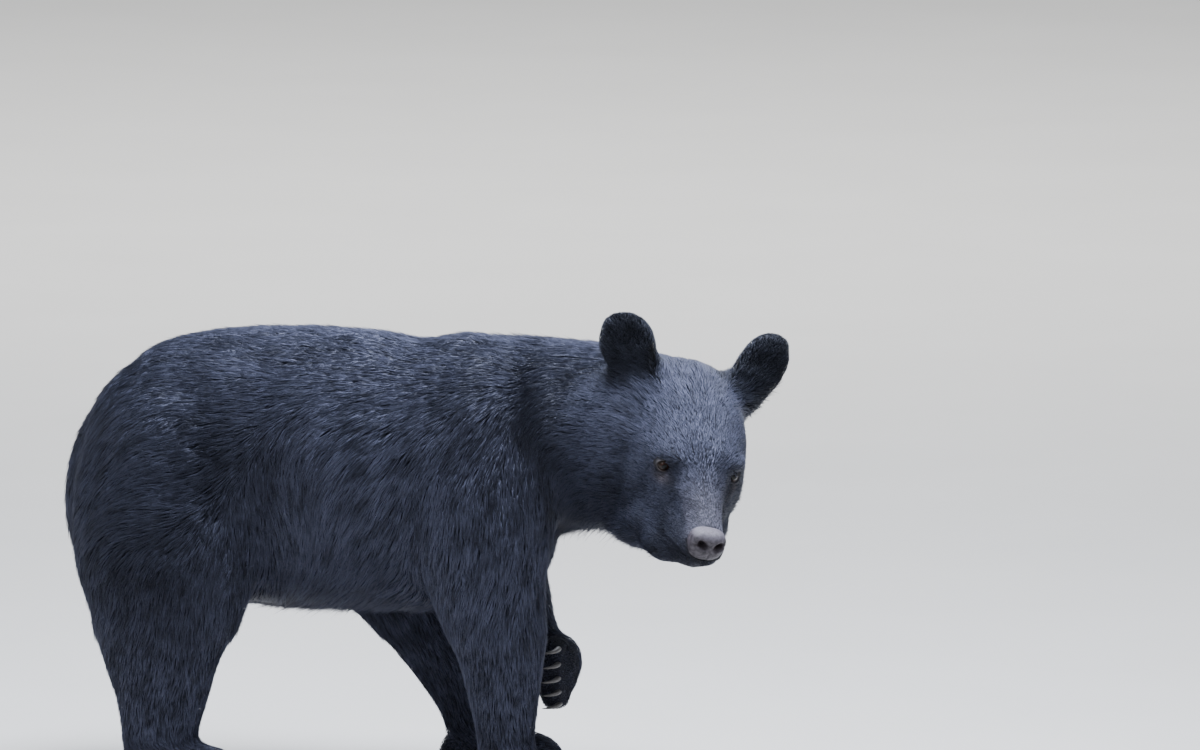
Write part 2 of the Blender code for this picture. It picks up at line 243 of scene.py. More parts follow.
lightSettings = {
    # place, what it looks at, side of the square lamp, watts, colour
    "overhead": ((0.30, -0.25, 3.0), (0.05, 0, 0.4), 1.8, 560, (0.84, 0.89, 1.0)),
    "front": ((3.2, -1.6, 3.0), (0.2, 0, 0.4), 0.8, 36, (0.86, 0.90, 1.0)),
    "side": ((-0.7, -4.0, 2.3), (0.0, 0, 0.35), 0.6, 40, (0.88, 0.92, 1.0)),
    "rear": ((-0.5, 3.0, 2.8), (0, 0, 0.35), 2.0, 40, (0.88, 0.92, 1.0)),
    "backdrop": ((-1.0, 5.0, 4.5), (-1.5, 9.0, 0), 4.0, 900, (0.97, 0.98, 1.0)),
}
worldSettings = {"Color": (0.82, 0.88, 0.96, 1), "Strength": 0.44}


def makeLights():
    for name, (place, target, side, watts, colour) in lightSettings.items():
        data = bpy.data.lights.new(name, "AREA")
        data.shape = "SQUARE"
        data.size = side
        data.energy = watts
        data.color = colour
        aimThing(addObject(name, data), place, Vector(target) - Vector(place))
    scene.world = bpy.data.worlds.new("softGrey")
    scene.world.use_nodes = True
    for name, value in worldSettings.items():
        scene.world.node_tree.nodes["Background"].inputs[name].default_value = value


floorSettings = {
    "radius": 60,
    "grain": 3.0,
    "darkest": (0.360, 0.352, 0.336),
    "palest": (0.390, 0.382, 0.366),
}


def makeFloor(settings):
    bm = bmesh.new()
    bmesh.ops.create_circle(bm, cap_ends=True, segments=96, radius=settings["radius"])
    floor = addObject("floor", meshOf(bm, "floor"))
    paper, tree, shader = principled("palePaper", 0.9, 0.2)
    coords = addNode(tree, "TexCoord")
    grain = addNode(tree, "TexNoise", Scale=settings["grain"], Detail=3.0)
    ramp = addRamp(tree, (0, settings["darkest"]), (1, settings["palest"]))
    chain(coords, "Object>Vector", grain, "Fac>Fac", ramp, "Color>Base Color", shader)
    floor.data.materials.append(paper)


makeCamera(cameraSettings)
makeLights()
makeFloor(floorSettings)
print("camera, lights and floor made")


# the skin: one surface over all the flesh, lying inside it by the coat's depth

fleshNames = ["trunk", "neck", "head", "lower_jaw", "ear_left", "ear_right", "tail"]
for limb in limbNames:
    fleshNames += ["upper_leg_" + limb, "lower_leg_" + limb, "paw_" + limb]
blendNames = fleshNames + ["eye_left", "eye_right", "nose"]

skinSettings = {
    "earRise": {"left": (0, -0.0035, 0.0065), "right": (0, 0, 0.0055)},
    "grow": 0.0006,         # closes the thin cuts between the nodes
    "voxel": 0.0052,
    "rounds": 8,            # of smoothing after the blend
    "hold": 0.85,           # how far the points then go back to the solids
    "faceMiddle": (0.045, 0, -0.030),
    "faceReach": 0.102,     # from there, where the skin is finer
    "eyeOpening": (0.0088, 0.0072, 0.0066),     # half width, upper and lower height
    "lidRadius": 0.0112,
    "holeRadius": 0.0080,       # of the skin behind the eye's surface
    "holeReach": 0.016,
    "mouthHeight": -0.0660,     # below the nose
    "mouthDrop": 0.0115,        # from there to its corners
    "mouthDepth": 0.0009,
    "earCup": 0.010,
}


def treeOfSolids():
    # for finding the nearest place on the solids, and whose it is
    corners, faces, owners = [], [], []
    for name in blendNames:
        mesh = nodes[name].data
        start = len(corners)
        corners += [vertex.co.copy() for vertex in mesh.vertices]
        faces += [[start + i for i in face.vertices] for face in mesh.polygons]
        owner = fleshNames.index(name if name in fleshNames else "head")
        owners += [owner] * len(mesh.polygons)
    return BVHTree.FromPolygons(corners, faces), owners


def blendedFlesh(settings):
    whole = bmesh.new()
    for name in blendNames:
        part = bmesh.new()
        part.from_mesh(nodes[name].data)
        bmesh.ops.remove_doubles(part, verts=part.verts, dist=0.00001)
        part.normal_update()
        for vertex in part.verts:
            vertex.co += vertex.normal * settings["grow"]
        mesh = meshOf(part, "grown")
        whole.from_mesh(mesh)
        bpy.data.meshes.remove(mesh)
    skin = addObject("skin", meshOf(whole, "skin"))
    blend = skin.modifiers.new("Blend", "REMESH")
    blend.mode = "VOXEL"
    blend.voxel_size = settings["voxel"]
    even = skin.modifiers.new("Even", "SMOOTH")
    even.factor = 0.5
    even.iterations = settings["rounds"]
    depsgraph = bpy.context.evaluated_depsgraph_get()
    mesh = bpy.data.meshes.new_from_object(skin.evaluated_get(depsgraph))
    skin.modifiers.clear()
    skin.data = mesh
    # smoothing draws thin forms in, so the points go back out to the solids
    for vertex in mesh.vertices:
        place = solidTree.find_nearest(vertex.co)[0]
        vertex.co = vertex.co.lerp(place, settings["hold"])
    return skin


def refineFace(skin, settings):
    bm = bmesh.new()
    bm.from_mesh(skin.data)
    middle = headFrame @ Vector(settings["faceMiddle"])
    for reach in (settings["faceReach"], settings["faceReach"] * 0.80):
        edges = [e for e in bm.edges if all((v.co - middle).length < reach for v in e.verts)]
        bmesh.ops.subdivide_edges(bm, edges=edges, cuts=1, use_grid_fill=True)
    near = [v for v in bm.verts if (v.co - middle).length < settings["faceReach"] * 1.1]
    for _ in range(4):
        bmesh.ops.smooth_vert(
            bm, verts=near, factor=0.5, use_axis_x=True, use_axis_y=True, use_axis_z=True
        )
    bmesh.ops.triangulate(bm, faces=bm.faces)
    bm.to_mesh(skin.data)
    bm.free()


def readArray(items, name, width, kind=np.float64):
    values = np.empty(len(items) * width, dtype=kind)
    items.foreach_get(name, values)
    return values.reshape(-1, width)


def readSurface(mesh):
    return readArray(mesh.vertices, "co", 3), readArray(mesh.vertices, "normal", 3)


def spread(values, edges, rounds):
    # evens values out over the skin, each point with its neighbours
    a, b = edges[:, 0], edges[:, 1]
    count = len(values)
    degree = np.bincount(a, minlength=count) + np.bincount(b, minlength=count)
    flat = values.reshape(count, -1).copy()
    for _ in range(rounds):
        for k in range(flat.shape[1]):
            column = flat[:, k]
            total = np.bincount(a, column[b], count) + np.bincount(b, column[a], count)
            flat[:, k] = 0.5 * column + 0.5 * total / degree
    return flat.reshape(values.shape)


def nearestNodes(points):
    # the index in fleshNames of the node that each point lies on
    return np.array([solidOwners[solidTree.find_nearest(Vector(p))[2]] for p in points])


def ownedBy(owners, *names):
    return np.isin(owners, [fleshNames.index(name) for name in names])


# depth of the coat, length of its tufts, their width, how far they stand off (0 to 1),
# and the tufts on a square metre
coatSettings = {
    "trunk": (0.0115, 0.038, 0.00112, 0.30, 165000),
    "neck": (0.0125, 0.038, 0.00112, 0.40, 175000),
    "head": (0.0070, 0.019, 0.00078, 0.30, 310000),
    "lower_jaw": (0.0028, 0.007, 0.00060, 0.30, 480000),
    "ear": (0.0032, 0.009, 0.00055, 0.62, 700000),
    "tail": (0.0110, 0.040, 0.00120, 0.40, 160000),
    "upper_leg": (0.0105, 0.034, 0.00110, 0.30, 165000),
    "lower_leg": (0.0070, 0.023, 0.00100, 0.28, 200000),
    "paw": (0.0030, 0.009, 0.0008, 0.20, 300000),
    # parts of the head
    "brow": (0.0030, 0.0110, 0.00056, 0.18, 620000),
    "muzzle": (0.0010, 0.0050, 0.00044, 0.14, 860000),
    "beard": (0.0060, 0.018, 0.00075, 1.10, 320000),
}


def kindOf(name):
    for kind in ("upper_leg", "lower_leg", "paw", "ear"):
        if name.startswith(kind):
            return kind
    return name


def headShares(points, owners):
    # the places in the head's frame, which are the head's own, and how much each belongs to
    # the muzzle and to the face, from 0 on the crown and cheeks to 1 at the nose
    onHead = ownedBy(owners, "head", "lower_jaw")
    local = inFrame(headFrame, points)
    near = 1 - smoothStep(lengths(local - np.array((0.02, 0, -0.045))), 0.10, 0.16)
    muzzle = smoothStep(local[:, 0], -0.015, 0.070) * near
    brow = smoothStep(local[:, 0], -0.120, -0.010) * near
    return local, onHead, muzzle, brow


def treeOf(places):
    tree = KDTree(len(places))
    for k, place in enumerate(places):
        tree.insert(place, k)
    tree.balance()
    return tree


def clawDistance(points):
    claws = [node.data.vertices for name, node in nodes.items() if name.startswith("claw")]
    tree = treeOf([vertex.co for claw in claws for vertex in claw])
    return np.array([tree.find(Vector(p))[2] for p in points])


def coatFields(points, normals, edges, owners):
    fields = np.array([coatSettings[kindOf(name)] for name in fleshNames])[owners]
    local, onHead, muzzle, brow = headShares(points, owners)
    beard = smoothStep(-normals[:, 2], -0.05, 0.55) * (1 - smoothStep(local[:, 0], 0.020, 0.055))
    for kind, share in (("brow", brow), ("muzzle", muzzle), ("beard", beard)):
        share = np.where(onHead, share, 0)[:, None]
        fields = mixed(fields, coatSettings[kind], share)
    # longer and looser under the cheeks, the throat and the belly
    cheek = np.where(onHead, (1 - brow) * smoothStep(-normals[:, 2], -0.2, 0.8), 0)
    fields[:, 1] *= 1 + 1.1 * cheek
    fields[:, 3] += 0.9 * cheek
    under = smoothStep(-normals[:, 2], 0.2, 0.9) * ownedBy(owners, "trunk", "neck")
    fields[:, 1] *= 1 + 0.25 * under
    fields[:, 3] += 0.55 * under
    fields = spread(fields, edges, 14)
    for hand in (1, -1):
        nearEye = bell(local, (0.004, hand * 0.049, 0), (0.016, 0.016, 0.013))
        fields[:, 1] *= 1 - 0.55 * nearEye
        fields[:, 2] *= 1 - 0.20 * nearEye
    nearClaw = 1 - smoothStep(clawDistance(points), 0.006, 0.022)
    fields[:, 1] *= 1 - 0.65 * nearClaw
    fields[:, 0] *= 1 - 0.5 * nearClaw
    return fields


# a line down each limb: its joint, its bend and its end
limbLines = {
    "hind_right": ((-0.190, -0.055, 0.440), (-0.187, -0.092, 0.255), (-0.194, -0.094, 0.040)),
    "hind_left": ((-0.130, 0.055, 0.440), (0.016, 0.094, 0.285), (0.175, 0.092, 0.040)),
    "fore_right": ((0.228, -0.060, 0.440), (0.218, -0.090, 0.285), (0.250, -0.090, 0.040)),
    "fore_left": ((0.218, 0.060, 0.440), (0.203, 0.096, 0.285), (0.255, 0.090, 0.150)),
}


# on the body's sides: where, along and up from the pose's origin, and which way the hair lies
combGuides = {
    "withers": (0.254, 0.565, -0.90, -0.40),
    "neckSide": (0.275, 0.510, -0.60, -0.80),
    "shoulder": (0.174, 0.470, -0.50, -0.87),
    "behindShoulder": (0.135, 0.528, -0.80, -0.60),
    "armFront": (0.286, 0.410, -0.15, -0.99),
    "arm": (0.214, 0.350, -0.20, -0.98),
    "armLow": (0.215, 0.260, -0.10, -1.00),
    "back": (-0.025, 0.563, -1.00, 0.05),
    "loin": (-0.120, 0.560, -1.00, -0.05),
    "ribsHigh": (0.054, 0.450, -0.80, -0.60),
    "ribs": (0.054, 0.385, -0.35, -0.94),
    "ribsLow": (0.054, 0.300, -0.05, -1.00),
    "hip": (-0.050, 0.515, -0.90, -0.35),
    "flank": (-0.010, 0.425, 0.00, -1.00),
    "flankFold": (-0.030, 0.350, 0.30, -0.95),
    "haunch": (-0.145, 0.445, -0.95, -0.30),
    "haunchLow": (-0.180, 0.345, -0.95, -0.30),
    "thighFront": (-0.100, 0.310, -0.10, -1.00),
    "thighLow": (-0.190, 0.260, -0.45, -0.90),
    "rump": (-0.245, 0.500, -0.80, -0.60),
    "buttock": (-0.280, 0.400, -0.60, -0.80),
}


combReach = 0.045


def combed(points):
    # the guides' directions, nearest first, on a body's side
    local = fromPose(points)
    total = np.zeros((len(points), 2))
    for along, high, ahead, rise in combGuides.values():
        away = (local[:, 0] - along) ** 2 + (local[:, 2] - high) ** 2
        share = np.exp(-away / combReach**2) + 1e-9
        total += share[:, None] * np.array((ahead, rise))
    return np.stack([total[:, 0], np.zeros(len(points)), total[:, 1]], axis=1)


def flowField(points, normals, edges, owners):
    # which way the hair lies
    up = normals[:, 2:]
    names = np.array(fleshNames)[owners]
    sides = unit(combed(points))
    flow = np.clip(up, 0, 1) * np.array((-1.0, 0, -0.05)) + (1 - np.abs(up)) * sides
    flow += np.clip(-up, 0, 1) * np.array((-0.6, 0, -0.6))
    # the rump turns over towards the tail and down the thighs
    rump = 0.7 * (smoothStep(-points[:, 0], 0.28, 0.44) * ownedBy(owners, "trunk", "neck"))[:, None]
    flow = mixed(flow, (-0.2, 0, -1.0), rump)
    # down each limb
    turning = smoothStep(-points[:, 2], -0.32, -0.24)[:, None]
    for limb, line in limbLines.items():
        top, bend, end = [Vector(place) + shift for place in line]
        parts = (("upper_leg_", bend - top, turning), ("lower_leg_", end - bend, 1.0))
        for kind, line, low in parts:
            down = np.array(line.normalized()) + np.array((-0.12, 0, 0))
            on = (names == kind + limb)[:, None]
            flow = np.where(on, mixed(sides, down, low), flow)
        ahead = pawFrames[limb].to_3x3() @ Vector((1, 0, -0.35))
        flow[names == "paw_" + limb] = np.array(ahead)
    flow[names == "tail"] = (-0.15, 0, -1)
    # the head: back from the nose, parting over the cheeks towards the neck
    local, onHead, _, brow = headShares(points, owners)
    turn = np.array(headFrame.to_3x3())
    sideways = np.sign(local[:, 1]) * smoothStep(np.abs(local[:, 1]), 0.0, 0.06)
    rising = -0.15 - 0.50 * (1 - brow) + 0.5 * smoothStep(local[:, 2], 0.0, 0.06)
    backwards = np.stack([-np.ones(len(points)), 0.45 * sideways, rising], axis=1)
    flow[onHead] = (backwards @ turn.T)[onHead]
    for side, place in earFrames.items():
        on = names == "ear_" + side
        ear = inFrame(place, points)
        outward = np.stack([np.zeros(len(points)), ear[:, 1] * 14, np.ones(len(points))], axis=1)
        flow[on] = (outward @ np.array(place.to_3x3()).T)[on]
    flow = unit(spread(unit(flow), edges, 16))
    for scale, strength in ((9.0, 0.26), (26.0, 0.14)):
        flow += strength * np.array([noise.noise_vector(Vector(p) * scale) for p in points])
    flow -= normals * (flow * normals).sum(axis=1, keepdims=True)
    return unit(flow)


# colours of the coat and face; some carry painted light and shade, as noted below
colourAndPaintedLightSettings = {
    "coat": (0.0335, 0.0362, 0.0555),
    "bridgePaleAndLit": (0.058, 0.057, 0.075),         # short hair along the top of the muzzle, paler partly of its own and partly as painted light where it faces up
    "sides": (0.013, 0.013, 0.018),          # and down its sides, darker: painted shade where they turn from the light
    "ears": (0.0095, 0.0105, 0.0150),
    "underEye": (0.130, 0.108, 0.108),
    # painted shade: in the groove at the eye's inner corner, under the brow and low beside the
    # muzzle
    "tearAndBrowShade": (0.0045, 0.0048, 0.0065),
}


# painted shade and painted light on the coat: darker where the body turns from the light, on the
# haunch, neck, throat and shoulder top, paler on the lit back and ribs; middle from the pose's
# origin, reach, and the change
paintedLightAndShade = {
    "haunch": ((-0.098, 0.12, 0.445), (0.065, 0.12, 0.065), -0.66),
    "haunchLow": ((-0.185, 0.12, 0.310), (0.100, 0.12, 0.110), -0.60),
    "neckBand": ((0.306, 0.12, 0.490), (0.055, 0.12, 0.085), -0.75),
    "throat": ((0.330, 0.06, 0.370), (0.070, 0.12, 0.050), -0.40),
    "shoulderTop": ((0.215, 0.10, 0.525), (0.040, 0.10, 0.040), -0.35),
    "back": ((-0.060, 0.00, 0.590), (0.200, 0.09, 0.045), 0.35),
    "ribs": ((0.070, 0.12, 0.460), (0.090, 0.12, 0.060), 0.20),
}

# beside the left eye, in the head's frame: middle, reach, share and colour; the first two are
# painted shade, in the groove at the inner corner and under the brow
eyeMarks = (
    ((0.022, 0.036, -0.013), (0.011, 0.008, 0.012), 0.80, "tearAndBrowShade"),
    ((0.012, 0.043, 0.009), (0.016, 0.013, 0.005), 0.75, "tearAndBrowShade"),
    ((0.014, 0.050, -0.010), (0.013, 0.011, 0.007), 0.90, "underEye"),
)


def coloursWithPaintedLight(points, owners):
    # the colour of skin and coat alike, with painted light and shade laid into it
    local, onHead, muzzle, _ = headShares(points, owners)
    x, y, z = local.T
    tint = np.tile(np.array(colourAndPaintedLightSettings["coat"]), (len(points), 1))

    def towards(share, colour):
        return mixed(tint, colourAndPaintedLightSettings[colour], (share * onHead)[:, None])

    # painted shade down the muzzle's sides
    tint = towards(0.75 * muzzle * smoothStep(x, 0.020, 0.070), "sides")
    # the muzzle's top: paler short hair of its own, and painted light where it faces up
    flat = 1 - smoothStep(np.abs(y), 0.024, 0.034)
    top = smoothStep(z - (0.018 - 0.43 * x), -0.032, -0.016) * flat
    tint = towards(smoothStep(x, 0.005, 0.080) * top * smoothStep(muzzle, 0.0, 0.35), "bridgePaleAndLit")
    # painted shade low on the face beside the muzzle, along the groove below the eye
    low = smoothStep(np.abs(y), 0.024, 0.036) * smoothStep(-z, 0.005, 0.020)
    tint = towards(0.70 * low * smoothStep(x, 0.015, 0.035), "tearAndBrowShade")
    for hand in (1, -1):
        # painted shade on the cheeks, which face down and away from the light
        cheek = bell(local, (-0.020, hand * 0.070, -0.050), (0.055, 0.040, 0.060))
        tint = tint * (1 - 0.55 * cheek * onHead)[:, None]
        for (ahead, aside, above), reach, share, colour in eyeMarks:
            tint = towards(share * bell(local, (ahead, hand * aside, above), reach), colour)
    # painted shade and painted light over the body
    for middle, reach, change in paintedLightAndShade.values():
        tint = tint * (1 + change * bell(fromPose(points), middle, reach))[:, None]
    for place in earFrames.values():
        ear = np.abs(inFrame(place, points) - np.array((0, 0, 0.050)))
        share = np.ones(len(points))
        for axis, low, high in ((2, 0.048, 0.064), (0, 0.024, 0.036), (1, 0.044, 0.056)):
            share *= 1 - smoothStep(ear[:, axis], low, high)
        tint = mixed(tint, colourAndPaintedLightSettings["ears"], share[:, None])
    return tint


def mouthLine(ahead):
    # height of the parting of the lips
    drop = skinSettings["mouthDrop"] * smoothStep(-ahead, -0.090, 0.010)
    return skinSettings["mouthHeight"] - drop


def eyePlace(hand):
    # an eye's own frame: x out through the pupil
    x, y, z = poseSettings["eyeInHead"]
    centre = headFrame @ moved(x, hand * (y - 0.001) - 0.0018, z + 0.0018)
    return centre @ turned(heading=hand * 10, pitch=-2)


def openingShare(eye):
    # in an eye's frame, 1 on the rim of its opening and less within
    half, upper, lower = skinSettings["eyeOpening"]
    height = np.where(eye[:, 2] > 0, upper, lower)
    return (eye[:, 1] / half) ** 2 + (eye[:, 2] / height) ** 2


# muscles and hollows of the body: middle from the pose's origin, reach, how far they stand out
reliefSettings = {
    "haunch": ((-0.180, 0.125, 0.420), (0.075, 0.07, 0.090), 0.005),
    "flankHollow": ((-0.060, 0.120, 0.430), (0.035, 0.08, 0.100), -0.008),
    "flankFold": ((-0.062, 0.110, 0.300), (0.026, 0.08, 0.060), -0.007),
    "hipBone": ((-0.105, 0.100, 0.520), (0.035, 0.06, 0.025), 0.004),
    "shoulder": ((0.200, 0.115, 0.450), (0.050, 0.07, 0.080), 0.005),
    "behindShoulder": ((0.112, 0.120, 0.430), (0.028, 0.08, 0.100), -0.005),
    "elbow": ((0.165, 0.120, 0.270), (0.025, 0.06, 0.030), -0.005),
    "neckGroove": ((0.262, 0.110, 0.500), (0.022, 0.08, 0.070), -0.007),
    "ruff": ((0.305, 0.110, 0.450), (0.026, 0.08, 0.080), 0.006),
    "saddle": ((0.118, 0.000, 0.590), (0.040, 0.12, 0.050), -0.005),
}
reliefStrength = 1.35


noseSettings = {
    "middle": (0.0990, -0.0020, -0.0438),
    "radii": (0.0165, 0.0238, 0.0198),
    "nostril": (0.0105, -0.0405),
    "nostrilRadii": (0.0056, 0.0044),
    "nostrilDepth": 0.0125,
    "slot": (0.007, -0.0015, 0.006, 0.0016, 0.0022),    # from the nostril, its reach and depth
    "cleft": (0.0011, 0.0012),      # half width and depth
    "powers": (0.68, 0.88),         # ahead and up: below 1 is squarer
    "back": -0.45,          # where the skin stops behind the pad, in shares of its depth
    "bareMiddle": (0.102, 0, -0.045),
    "bareRadii": (0.018, 0.0245, 0.0195),
}


# the left half of the face, in the head's frame: middle, reach, and how far it stands out
faceSettings = {
    "brow": ((0.004, 0.040, 0.018), (0.014, 0.015, 0.007), 0.0030),
    "pouch": ((0.010, 0.051, -0.014), (0.009, 0.010, 0.005), 0.0012),
    "innerCorner": ((0.016, 0.036, -0.008), (0.010, 0.007, 0.010), -0.0034),
    "belowTears": ((0.040, 0.034, -0.032), (0.020, 0.009, 0.015), -0.0050),
    "besideMuzzle": ((0.070, 0.030, -0.036), (0.020, 0.008, 0.012), -0.0026),
    "lipPad": ((0.070, 0.026, -0.054), (0.022, 0.010, 0.010), 0.0012),
    "behindLips": ((0.058, 0.042, -0.040), (0.030, 0.014, 0.022), -0.0040),
    "bridgeEdge": ((0.058, 0.014, -0.012), (0.034, 0.008, 0.010), 0.0014),
}


def sculptSkin(points, out, settings):
    local = inFrame(headFrame, points)
    x, y, z = local.T
    onFace = lengths(local - np.array(settings["faceMiddle"])) < settings["faceReach"]
    lift = relief(local, faceSettings) + relief(local, faceSettings, -1)
    mouth = mouthLine(x)
    within = smoothStep(x, 0.006, 0.026)
    lift -= settings["mouthDepth"] * within * np.exp(-((z - mouth) / 0.0014) ** 2)
    for lip in (0.005, -0.005):
        lift += 0.0008 * within * np.exp(-((z - mouth - lip) / 0.003) ** 2)
    cleft = smoothStep(x, 0.09, 0.10) * smoothStep(-z, 0.050, 0.060)
    lift -= 0.0016 * cleft * np.exp(-((y / 0.0012) ** 2))
    body = reliefStrength * relief(fromPose(points), reliefSettings)
    points = points + out * np.where(onFace, lift, body)[:, None]
    # room for the nostrils behind the pad
    middle, radii = np.array(noseSettings["middle"]), np.array(noseSettings["radii"])
    pad = (inFrame(headFrame, points) - middle) / radii
    behind = (pad[:, 0] > noseSettings["back"]) & (lengths(pad[:, 1:]) < 1.02) & onFace
    pad[behind, 0] = noseSettings["back"]
    back = pad * radii + middle
    points = np.where(behind[:, None], outOfFrame(headFrame, back), points)
    # the lids bulge over the eye, and the opening lies behind the eye's surface
    lid = settings["lidRadius"]
    for hand in (1, -1):
        place = eyePlace(hand)
        eye = inFrame(place, points)
        reach = lengths(eye)
        front = eye[:, 0] > 0
        push = front & (reach < lid)
        eye[push] *= (lid / reach[push])[:, None]
        hole = front & (openingShare(eye) < 1.45) & (reach < settings["holeReach"])
        eye[hole] *= (settings["holeRadius"] / lengths(eye[hole]))[:, None]
        points = outOfFrame(place, eye)
    for side, place in earFrames.items():
        ear = inFrame(place, points)
        disc = (ear[:, 1] / 0.030) ** 2 + ((ear[:, 2] - 0.046) / 0.044) ** 2
        front = smoothStep(ear[:, 0], -0.004, 0.006) * (disc < 1.0) * (ear[:, 2] > 0.002)
        ear[:, 0] -= settings["earCup"] * front * (1 - np.clip(disc, 0, 1)) ** 0.7
        near = (np.abs(ear[:, 0]) < 0.035) & (np.abs(ear[:, 1]) < 0.055)
        share = smoothStep(ear[:, 2], 0.020, 0.080) * near
        points = outOfFrame(place, ear) + share[:, None] * np.array(settings["earRise"][side])
    return points


lidSettings = {
    # share of the opening, and distance from the eye's middle
    "profile": (
        (0.93, 0.0090), (0.97, 0.0103), (1.03, 0.0108),
        (1.12, 0.0110), (1.28, 0.0106), (1.50, 0.0094),
    ),
    "corners": 48,
    "dip": 0.0012,          # of the inner corner
    "upper": (0.070, 0.062, 0.066),
    "lower": (0.180, 0.154, 0.162),
}


def lidRing(hand, settings):
    # a rim of skin round the eye, as a bmesh
    half, upper, lower = skinSettings["eyeOpening"]
    count = settings["corners"]
    place = eyePlace(hand)
    bm = bmesh.new()
    rings = []
    for scale, radius in settings["profile"]:
        ring = []
        for k in range(count):
            a = 2 * math.pi * k / count
            inner = max(-hand * math.cos(a), 0)
            wide = half * scale * math.cos(a) - hand * settings["dip"] * inner**5
            high = (upper if math.sin(a) > 0 else lower) * scale * math.sin(a)
            high -= settings["dip"] * scale * inner**3
            deep = math.sqrt(max(radius**2 - wide**2 - high**2, 1e-7))
            ring.append(bm.verts.new(place @ Vector((deep, wide, high))))
        rings.append([bm.edges.new((ring[k], ring[(k + 1) % count])) for k in range(count)])
    for one, two in zip(rings, rings[1:]):
        bmesh.ops.bridge_loops(bm, edges=one + two)
    bmesh.ops.subdivide_edges(bm, edges=bm.edges, cuts=1, smooth=0.0, use_grid_fill=True)
    bmesh.ops.recalc_face_normals(bm, faces=bm.faces)
    axis = place.to_3x3() @ Vector((1, 0, 0))
    if sum(face.normal.dot(axis) * face.calc_area() for face in bm.faces) < 0:
        bmesh.ops.reverse_faces(bm, faces=bm.faces)
    return bm


def writeValues(mesh, name, values):
    mesh.attributes.new(name, "FLOAT", "POINT").data.foreach_set("value", values)


def writeColours(mesh, name, colours):
    layer = mesh.color_attributes.new(name, "FLOAT_COLOR", "POINT")
    four = np.concatenate([colours, np.ones((len(colours), 1))], axis=1)
    layer.data.foreach_set("color", four.ravel())


def unwrap(thing):
    thing.data.uv_layers.new(name="OFBake")
    bpy.ops.object.select_all(action="DESELECT")
    bpy.context.view_layer.objects.active = thing
    thing.select_set(True)
    bpy.ops.object.mode_set(mode="EDIT")
    bpy.ops.mesh.select_all(action="SELECT")
    bpy.ops.uv.smart_project(angle_limit=math.radians(70), island_margin=0.003)
    bpy.ops.object.mode_set(mode="OBJECT")


solidTree, solidOwners = treeOfSolids()
skin = blendedFlesh(skinSettings)
refineFace(skin, skinSettings)
mesh = skin.data
points, normals = readSurface(mesh)
edges = readArray(mesh.edges, "vertices", 2, np.int64)
owners = nearestNodes(points)
fields = coatFields(points, normals, edges, owners)
calm = unit(spread(normals, edges, 6))
points = spread(points - calm * fields[:, :1], edges, 1)
points = sculptSkin(points, calm, skinSettings)
mesh.vertices.foreach_set("co", points.ravel())
mesh.update()
points, normals = readSurface(mesh)
flow = flowField(points, normals, edges, owners)
tints = coloursWithPaintedLight(points, owners)
print("skin", len(mesh.polygons), "triangles")
unwrap(skin)
print("skin unwrapped")


# the coat: tufts over the skin, rooted on it and combed along it

tuftSettings = {
    "spreadOfLength": 0.30,
    "locks": ((0.0055, 0.50), (0.020, 0.25)),   # spacing of fine and broad locks, and their pull
    "toneShares": (0.40, 0.35, 0.25),       # a tuft's own, its fine lock's, its broad lock's
    "bend": (0.42, 0.72),   # how far along the tuft, and how high in the coat's depth
    "tip": (0.50, 0.86),    # the same, from the bend
    "bendAlong": 0.45,      # where the bend is for the shading
    "stray": 0.07,
    "hang": 0.32,
    "sunk": 0.0006,         # how far the roots lie under the skin
    "offFloor": 0.0012,
    "ridge": 0.40,          # thickness of a tuft over its width
    "patch": 0.003,         # side of a tuft's patch in the bake
}


def bareShare(points, owners):
    # 1 where no hair grows: eyes, nose, soles
    local = inFrame(headFrame, points)
    bare = np.zeros(len(points))
    for hand in (1, -1):
        eye = inFrame(eyePlace(hand), points)
        bare[(openingShare(eye) < 1.32) & (eye[:, 0] > 0) & (eye[:, 0] < 0.02)] = 1
    nose = (local - np.array(noseSettings["bareMiddle"])) / np.array(noseSettings["bareRadii"])
    bare[(nose**2).sum(axis=1) < 1] = 1
    for limb, place in pawFrames.items():
        ahead, aside, above = inFrame(place, points).T
        under = (above < 0.0075) & (ahead > -0.05) & (ahead < 0.12) & (np.abs(aside) < 0.05)
        bare[under & ownedBy(owners, "paw_" + limb)] = 1
    bare[clawDistance(points) < 0.0035] = 1
    return bare


def rootsOn(weights, count):
    # places spread over the triangles by weight: the triangle and the shares of its corners
    bounds = np.cumsum(weights)
    at = (np.arange(count) + rng.random(count)) / count * bounds[-1]
    chosen = np.minimum(np.searchsorted(bounds, at), len(weights) - 1)
    a, b = rng.random(count), rng.random(count)
    flip = a + b > 1
    a[flip], b[flip] = 1 - a[flip], 1 - b[flip]
    return chosen, np.stack([1 - a - b, a, b], axis=1)


